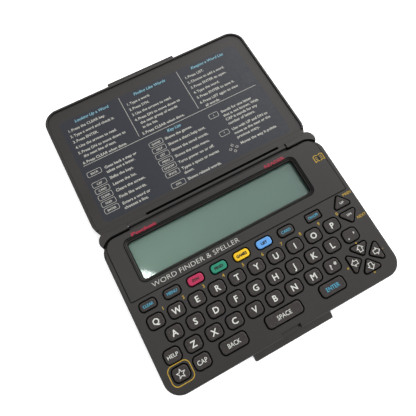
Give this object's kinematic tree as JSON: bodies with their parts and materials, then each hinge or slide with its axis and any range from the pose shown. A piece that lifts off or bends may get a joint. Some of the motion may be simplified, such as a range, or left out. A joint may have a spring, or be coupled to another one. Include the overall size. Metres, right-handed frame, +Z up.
{
  "type": "pocket word finder",
  "caption": "Clamshell handheld reference device: a keyboard base with a wide display, and a friction-hinged lid carrying a printed key guide.",
  "frame": {"origin": "middle of the open device in X and Y, on the surface that it stands on", "axes": "+Z up, X along the hinge with the user's right at +X, the keyboard towards -Y and the open lid towards +Y"},
  "size_m": [0.1214, 0.1644, 0.0117],
  "materials": {
    "case": "fine-textured warm charcoal moulding",
    "lid": "fine-textured warm charcoal moulding",
    "guide": "satin dark panel with a slate blue printed field",
    "window": "clear polished",
    "display": "grey-green liquid crystal cell",
    "board": "green lacquered board",
    "dome_sheet": "grey silicone",
    "steel": "bright steel",
    "key": "matt dark brown keycap",
    "key_red": "matt red keycap",
    "key_green": "matt green keycap",
    "key_yellow": "matt yellow keycap",
    "key_blue": "matt blue keycap"
  },
  "bodies": {
    "base": {"top_housing": "case", "bottom_housing": "case", "hinge_pin": "steel", "display_window": "window", "lcd_module": "display", "circuit_board": "board", "keypad_mat": "dome_sheet", "coin_cell_left": "steel", "coin_cell_right": "steel"},
    "lid": {"lid_shell": "lid", "lid_liner": "guide"},
    "battery_cover": {"battery_cover": "case"},
    "key_q": {"key_q": "key"},
    "key_w": {"key_w": "key"},
    "key_e": {"key_e": "key"},
    "key_r": {"key_r": "key"},
    "key_t": {"key_t": "key"},
    "key_y": {"key_y": "key"},
    "key_u": {"key_u": "key"},
    "key_i": {"key_i": "key"},
    "key_o": {"key_o": "key"},
    "key_p": {"key_p": "key"},
    "key_a": {"key_a": "key"},
    "key_s": {"key_s": "key"},
    "key_d": {"key_d": "key"},
    "key_f": {"key_f": "key"},
    "key_g": {"key_g": "key"},
    "key_h": {"key_h": "key"},
    "key_j": {"key_j": "key"},
    "key_k": {"key_k": "key"},
    "key_l": {"key_l": "key"},
    "key_comma": {"key_comma": "key"},
    "key_help": {"key_help": "key"},
    "key_z": {"key_z": "key"},
    "key_x": {"key_x": "key"},
    "key_c": {"key_c": "key"},
    "key_v": {"key_v": "key"},
    "key_b": {"key_b": "key"},
    "key_n": {"key_n": "key"},
    "key_m": {"key_m": "key"},
    "key_question": {"key_question": "key"},
    "key_star": {"key_star": "key"},
    "key_cap": {"key_cap": "key"},
    "key_back": {"key_back": "key"},
    "key_space": {"key_space": "key"},
    "key_enter": {"key_enter": "key"},
    "key_clear": {"key_clear": "key"},
    "key_menu": {"key_menu": "key"},
    "key_red": {"key_red": "key_red"},
    "key_green": {"key_green": "key_green"},
    "key_yellow": {"key_yellow": "key_yellow"},
    "key_blue": {"key_blue": "key_blue"},
    "key_card": {"key_card": "key"},
    "key_power": {"key_power": "key"},
    "key_page_up": {"key_page_up": "key"},
    "key_page_down": {"key_page_down": "key"},
    "key_arrow_up": {"key_arrow_up": "key"},
    "key_arrow_down": {"key_arrow_down": "key"},
    "key_arrow_left": {"key_arrow_left": "key"},
    "key_arrow_right": {"key_arrow_right": "key"}
  },
  "joints": [
    {"name": "lid_hinge", "type": "hinge", "parent": "base", "child": "lid", "pos_m": [0, 0.00014, 0.0097], "axis": [1, 0, 0], "range_deg": [0, 182.61]},
    {"name": "battery_cover_lift", "type": "slide", "parent": "base", "child": "battery_cover", "axis": [0, 0, -1], "range_m": [0, 0.012]},
    {"name": "key_q_press", "type": "slide", "parent": "base", "child": "key_q", "axis": [0, 0, -1], "range_m": [0, 0.0007], "stiffness_N_per_m": 800, "springref_m": -0.0001},
    {"name": "key_w_press", "type": "slide", "parent": "base", "child": "key_w", "axis": [0, 0, -1], "range_m": [0, 0.0007], "stiffness_N_per_m": 800, "springref_m": -0.0001},
    {"name": "key_e_press", "type": "slide", "parent": "base", "child": "key_e", "axis": [0, 0, -1], "range_m": [0, 0.0007], "stiffness_N_per_m": 800, "springref_m": -0.0001},
    {"name": "key_r_press", "type": "slide", "parent": "base", "child": "key_r", "axis": [0, 0, -1], "range_m": [0, 0.0007], "stiffness_N_per_m": 800, "springref_m": -0.0001},
    {"name": "key_t_press", "type": "slide", "parent": "base", "child": "key_t", "axis": [0, 0, -1], "range_m": [0, 0.0007], "stiffness_N_per_m": 800, "springref_m": -0.0001},
    {"name": "key_y_press", "type": "slide", "parent": "base", "child": "key_y", "axis": [0, 0, -1], "range_m": [0, 0.0007], "stiffness_N_per_m": 800, "springref_m": -0.0001},
    {"name": "key_u_press", "type": "slide", "parent": "base", "child": "key_u", "axis": [0, 0, -1], "range_m": [0, 0.0007], "stiffness_N_per_m": 800, "springref_m": -0.0001},
    {"name": "key_i_press", "type": "slide", "parent": "base", "child": "key_i", "axis": [0, 0, -1], "range_m": [0, 0.0007], "stiffness_N_per_m": 800, "springref_m": -0.0001},
    {"name": "key_o_press", "type": "slide", "parent": "base", "child": "key_o", "axis": [0, 0, -1], "range_m": [0, 0.0007], "stiffness_N_per_m": 800, "springref_m": -0.0001},
    {"name": "key_p_press", "type": "slide", "parent": "base", "child": "key_p", "axis": [0, 0, -1], "range_m": [0, 0.0007], "stiffness_N_per_m": 800, "springref_m": -0.0001},
    {"name": "key_a_press", "type": "slide", "parent": "base", "child": "key_a", "axis": [0, 0, -1], "range_m": [0, 0.0007], "stiffness_N_per_m": 800, "springref_m": -0.0001},
    {"name": "key_s_press", "type": "slide", "parent": "base", "child": "key_s", "axis": [0, 0, -1], "range_m": [0, 0.0007], "stiffness_N_per_m": 800, "springref_m": -0.0001},
    {"name": "key_d_press", "type": "slide", "parent": "base", "child": "key_d", "axis": [0, 0, -1], "range_m": [0, 0.0007], "stiffness_N_per_m": 800, "springref_m": -0.0001},
    {"name": "key_f_press", "type": "slide", "parent": "base", "child": "key_f", "axis": [0, 0, -1], "range_m": [0, 0.0007], "stiffness_N_per_m": 800, "springref_m": -0.0001},
    {"name": "key_g_press", "type": "slide", "parent": "base", "child": "key_g", "axis": [0, 0, -1], "range_m": [0, 0.0007], "stiffness_N_per_m": 800, "springref_m": -0.0001},
    {"name": "key_h_press", "type": "slide", "parent": "base", "child": "key_h", "axis": [0, 0, -1], "range_m": [0, 0.0007], "stiffness_N_per_m": 800, "springref_m": -0.0001},
    {"name": "key_j_press", "type": "slide", "parent": "base", "child": "key_j", "axis": [0, 0, -1], "range_m": [0, 0.0007], "stiffness_N_per_m": 800, "springref_m": -0.0001},
    {"name": "key_k_press", "type": "slide", "parent": "base", "child": "key_k", "axis": [0, 0, -1], "range_m": [0, 0.0007], "stiffness_N_per_m": 800, "springref_m": -0.0001},
    {"name": "key_l_press", "type": "slide", "parent": "base", "child": "key_l", "axis": [0, 0, -1], "range_m": [0, 0.0007], "stiffness_N_per_m": 800, "springref_m": -0.0001},
    {"name": "key_comma_press", "type": "slide", "parent": "base", "child": "key_comma", "axis": [0, 0, -1], "range_m": [0, 0.0007], "stiffness_N_per_m": 800, "springref_m": -0.0001},
    {"name": "key_help_press", "type": "slide", "parent": "base", "child": "key_help", "axis": [0, 0, -1], "range_m": [0, 0.0007], "stiffness_N_per_m": 800, "springref_m": -0.0001},
    {"name": "key_z_press", "type": "slide", "parent": "base", "child": "key_z", "axis": [0, 0, -1], "range_m": [0, 0.0007], "stiffness_N_per_m": 800, "springref_m": -0.0001},
    {"name": "key_x_press", "type": "slide", "parent": "base", "child": "key_x", "axis": [0, 0, -1], "range_m": [0, 0.0007], "stiffness_N_per_m": 800, "springref_m": -0.0001},
    {"name": "key_c_press", "type": "slide", "parent": "base", "child": "key_c", "axis": [0, 0, -1], "range_m": [0, 0.0007], "stiffness_N_per_m": 800, "springref_m": -0.0001},
    {"name": "key_v_press", "type": "slide", "parent": "base", "child": "key_v", "axis": [0, 0, -1], "range_m": [0, 0.0007], "stiffness_N_per_m": 800, "springref_m": -0.0001},
    {"name": "key_b_press", "type": "slide", "parent": "base", "child": "key_b", "axis": [0, 0, -1], "range_m": [0, 0.0007], "stiffness_N_per_m": 800, "springref_m": -0.0001},
    {"name": "key_n_press", "type": "slide", "parent": "base", "child": "key_n", "axis": [0, 0, -1], "range_m": [0, 0.0007], "stiffness_N_per_m": 800, "springref_m": -0.0001},
    {"name": "key_m_press", "type": "slide", "parent": "base", "child": "key_m", "axis": [0, 0, -1], "range_m": [0, 0.0007], "stiffness_N_per_m": 800, "springref_m": -0.0001},
    {"name": "key_question_press", "type": "slide", "parent": "base", "child": "key_question", "axis": [0, 0, -1], "range_m": [0, 0.0007], "stiffness_N_per_m": 800, "springref_m": -0.0001},
    {"name": "key_star_press", "type": "slide", "parent": "base", "child": "key_star", "axis": [0, 0, -1], "range_m": [0, 0.0007], "stiffness_N_per_m": 800, "springref_m": -0.0001},
    {"name": "key_cap_press", "type": "slide", "parent": "base", "child": "key_cap", "axis": [0, 0, -1], "range_m": [0, 0.0007], "stiffness_N_per_m": 800, "springref_m": -0.0001},
    {"name": "key_back_press", "type": "slide", "parent": "base", "child": "key_back", "axis": [0, 0, -1], "range_m": [0, 0.0007], "stiffness_N_per_m": 800, "springref_m": -0.0001},
    {"name": "key_space_press", "type": "slide", "parent": "base", "child": "key_space", "axis": [0, 0, -1], "range_m": [0, 0.0007], "stiffness_N_per_m": 800, "springref_m": -0.0001},
    {"name": "key_enter_press", "type": "slide", "parent": "base", "child": "key_enter", "axis": [0, 0, -1], "range_m": [0, 0.0007], "stiffness_N_per_m": 800, "springref_m": -0.0001},
    {"name": "key_clear_press", "type": "slide", "parent": "base", "child": "key_clear", "axis": [0, 0, -1], "range_m": [0, 0.0007], "stiffness_N_per_m": 800, "springref_m": -0.0001},
    {"name": "key_menu_press", "type": "slide", "parent": "base", "child": "key_menu", "axis": [0, 0, -1], "range_m": [0, 0.0007], "stiffness_N_per_m": 800, "springref_m": -0.0001},
    {"name": "key_red_press", "type": "slide", "parent": "base", "child": "key_red", "axis": [0, 0, -1], "range_m": [0, 0.0007], "stiffness_N_per_m": 800, "springref_m": -0.0001},
    {"name": "key_green_press", "type": "slide", "parent": "base", "child": "key_green", "axis": [0, 0, -1], "range_m": [0, 0.0007], "stiffness_N_per_m": 800, "springref_m": -0.0001},
    {"name": "key_yellow_press", "type": "slide", "parent": "base", "child": "key_yellow", "axis": [0, 0, -1], "range_m": [0, 0.0007], "stiffness_N_per_m": 800, "springref_m": -0.0001},
    {"name": "key_blue_press", "type": "slide", "parent": "base", "child": "key_blue", "axis": [0, 0, -1], "range_m": [0, 0.0007], "stiffness_N_per_m": 800, "springref_m": -0.0001},
    {"name": "key_card_press", "type": "slide", "parent": "base", "child": "key_card", "axis": [0, 0, -1], "range_m": [0, 0.0007], "stiffness_N_per_m": 800, "springref_m": -0.0001},
    {"name": "key_power_press", "type": "slide", "parent": "base", "child": "key_power", "axis": [0, 0, -1], "range_m": [0, 0.0006], "stiffness_N_per_m": 800, "springref_m": -0.0001},
    {"name": "key_page_up_press", "type": "slide", "parent": "base", "child": "key_page_up", "axis": [0, 0, -1], "range_m": [0, 0.0007], "stiffness_N_per_m": 800, "springref_m": -0.0001},
    {"name": "key_page_down_press", "type": "slide", "parent": "base", "child": "key_page_down", "axis": [0, 0, -1], "range_m": [0, 0.0007], "stiffness_N_per_m": 800, "springref_m": -0.0001},
    {"name": "key_arrow_up_press", "type": "slide", "parent": "base", "child": "key_arrow_up", "axis": [0, 0, -1], "range_m": [0, 0.0007], "stiffness_N_per_m": 800, "springref_m": -0.0001},
    {"name": "key_arrow_down_press", "type": "slide", "parent": "base", "child": "key_arrow_down", "axis": [0, 0, -1], "range_m": [0, 0.0007], "stiffness_N_per_m": 800, "springref_m": -0.0001},
    {"name": "key_arrow_left_press", "type": "slide", "parent": "base", "child": "key_arrow_left", "axis": [0, 0, -1], "range_m": [0, 0.0007], "stiffness_N_per_m": 800, "springref_m": -0.0001},
    {"name": "key_arrow_right_press", "type": "slide", "parent": "base", "child": "key_arrow_right", "axis": [0, 0, -1], "range_m": [0, 0.0007], "stiffness_N_per_m": 800, "springref_m": -0.0001}
  ]
}
